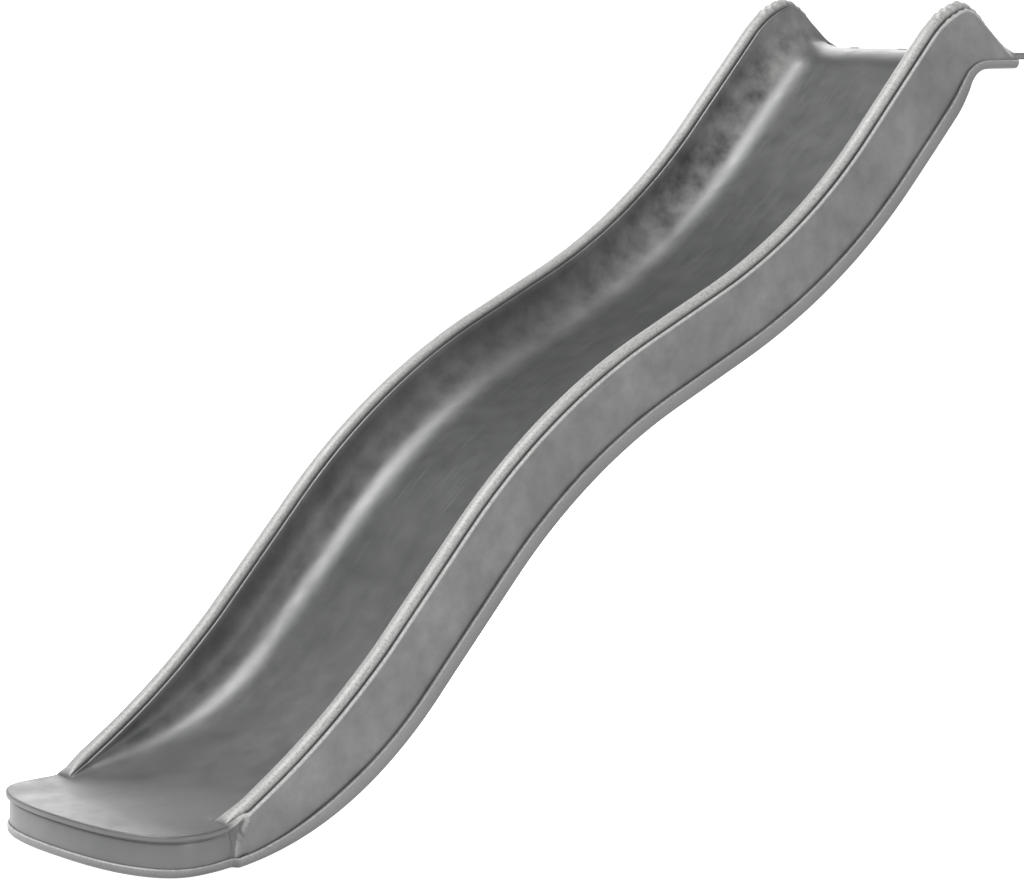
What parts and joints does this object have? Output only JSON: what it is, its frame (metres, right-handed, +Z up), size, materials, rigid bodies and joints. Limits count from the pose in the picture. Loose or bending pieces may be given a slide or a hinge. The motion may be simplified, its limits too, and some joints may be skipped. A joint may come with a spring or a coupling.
{
  "type": "wave slide",
  "caption": "Hollow two-shell plastic playground slide with a wave-shaped trough, rolled rim beads, grip humps, a flat rounded toe and a deck lip.",
  "frame": {"origin": "on the ground under the middle of the slide's overall box", "axes": "+Y runs along the slide from the toe up to the deck, +X across it, +Z up"},
  "size_m": [0.4926, 1.97, 1.301],
  "materials": {
    "shell_plastic": "satin, slightly mottled moulded polyethylene in mid grey",
    "tray_plastic": "satin moulded polyethylene in mid grey",
    "screw_steel": "zinc plated",
    "bar_steel": "galvanised flat bar",
    "bush_plastic": "dark moulded nylon",
    "plug_rubber": "dark soft plug"
  },
  "bodies": {
    "root": {"upper_shell": "shell_plastic", "under_shell": "tray_plastic", "seam_screws": "screw_steel", "head_bar": "bar_steel", "bar_screws": "screw_steel", "deck_bushes": "bush_plastic", "drain_plugs": "plug_rubber"}
  },
  "joints": []
}
